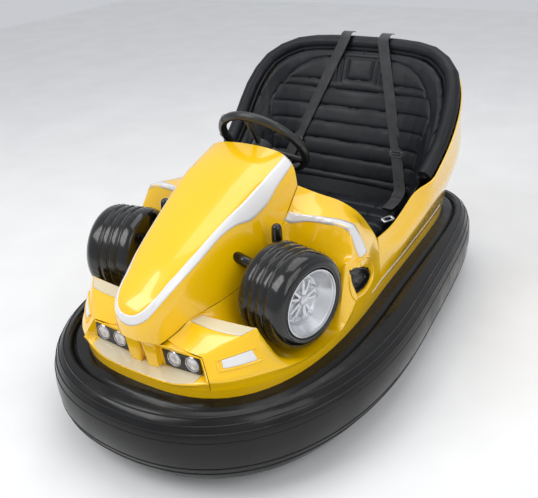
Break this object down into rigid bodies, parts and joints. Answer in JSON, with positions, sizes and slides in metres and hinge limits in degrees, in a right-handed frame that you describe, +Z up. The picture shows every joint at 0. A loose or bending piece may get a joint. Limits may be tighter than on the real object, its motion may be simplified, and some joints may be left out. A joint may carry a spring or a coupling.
{
  "type": "bumper car",
  "caption": "Battery fairground bumper car for riders side by side: racing-style nose with mock front wheels, bucket seat, steered drive wheel, all inside a rubber bumper ring.",
  "frame": {"origin": "on the floor, under the middle of the bumper ring's bounding box", "axes": "+Y towards the rear of the car, +X towards the driver's left, +Z up; the nose points along -Y"},
  "size_m": [1.1701, 1.9499, 0.9922],
  "materials": {
    "body_yellow": "glossy moulded glass-fibre, sun yellow",
    "bumper_rubber": "smooth black rubber with a wet sheen",
    "gloss_black": "glossy black moulding",
    "black_plastic": "satin black moulding",
    "seat_vinyl": "padded black vinyl",
    "rim_silver": "silver painted moulding",
    "frame_steel": "black painted steel",
    "motor_grey": "grey painted motor casing",
    "wheel_rubber": "solid black rubber",
    "wheel_grip": "soft black grip",
    "lamp_lens": "clear lamp lens",
    "belt_webbing": "woven black webbing"
  },
  "bodies": {
    "body": {"accelerator_pedal": "frame_steel", "battery_block": "black_plastic", "belt_left": "belt_webbing", "belt_right": "belt_webbing", "bumper_hoop": "frame_steel", "bumper_tube": "bumper_rubber", "chassis_frame": "frame_steel", "column_bearing": "frame_steel", "dash_panel": "black_plastic", "duct_liner_left": "black_plastic", "duct_liner_right": "black_plastic", "floor_pan": "frame_steel", "front_fascia": "body_yellow", "headlamp_bezel_left": "black_plastic", "headlamp_bezel_right": "black_plastic", "lamp_lens_left_inner": "lamp_lens", "lamp_lens_left_outer": "lamp_lens", "lamp_lens_right_inner": "lamp_lens", "lamp_lens_right_outer": "lamp_lens", "lower_skirt": "body_yellow", "mock_arm_left": "gloss_black", "mock_arm_right": "gloss_black", "mock_rim_left": "rim_silver", "mock_rim_right": "rim_silver", "mock_tyre_left": "gloss_black", "mock_tyre_right": "gloss_black", "nose_hood": "body_yellow", "rear_axle": "frame_steel", "rear_cowl": "body_yellow", "rim_band": "bumper_rubber", "seat_cushion": "seat_vinyl", "seat_roll": "seat_vinyl", "seat_shell": "seat_vinyl", "side_body_left": "body_yellow", "side_body_right": "body_yellow", "turntable_ring": "frame_steel"},
    "steering": {"steering_wheel": "wheel_grip", "steering_column": "frame_steel"},
    "drive_unit": {"drive_yoke": "frame_steel", "drive_motor": "motor_grey"},
    "drive_wheel": {"drive_tyre": "wheel_rubber", "drive_hub": "frame_steel"},
    "rear_wheel_left": {"rear_wheel_left": "wheel_rubber"},
    "rear_wheel_right": {"rear_wheel_right": "wheel_rubber"}
  },
  "joints": [
    {"name": "steering", "type": "hinge", "parent": "body", "child": "steering", "pos_m": [0, -0.107, 0.775], "axis": [0, 0.788, 0.6157], "continuous": true},
    {"name": "drive_yaw", "type": "hinge", "parent": "body", "child": "drive_unit", "pos_m": [0, -0.48, 0.2], "axis": [0, 0, 1], "continuous": true},
    {"name": "drive_roll", "type": "hinge", "parent": "drive_unit", "child": "drive_wheel", "pos_m": [0, -0.48, 0.09], "axis": [1, 0, 0], "continuous": true},
    {"name": "rear_roll_left", "type": "hinge", "parent": "body", "child": "rear_wheel_left", "pos_m": [0.32, 0.55, 0.07], "axis": [1, 0, 0], "continuous": true},
    {"name": "rear_roll_right", "type": "hinge", "parent": "body", "child": "rear_wheel_right", "pos_m": [-0.32, 0.55, 0.07], "axis": [1, 0, 0], "continuous": true}
  ],
  "couplings": [
    {"joint": "drive_yaw", "follows": "steering", "ratio": 1}
  ]
}
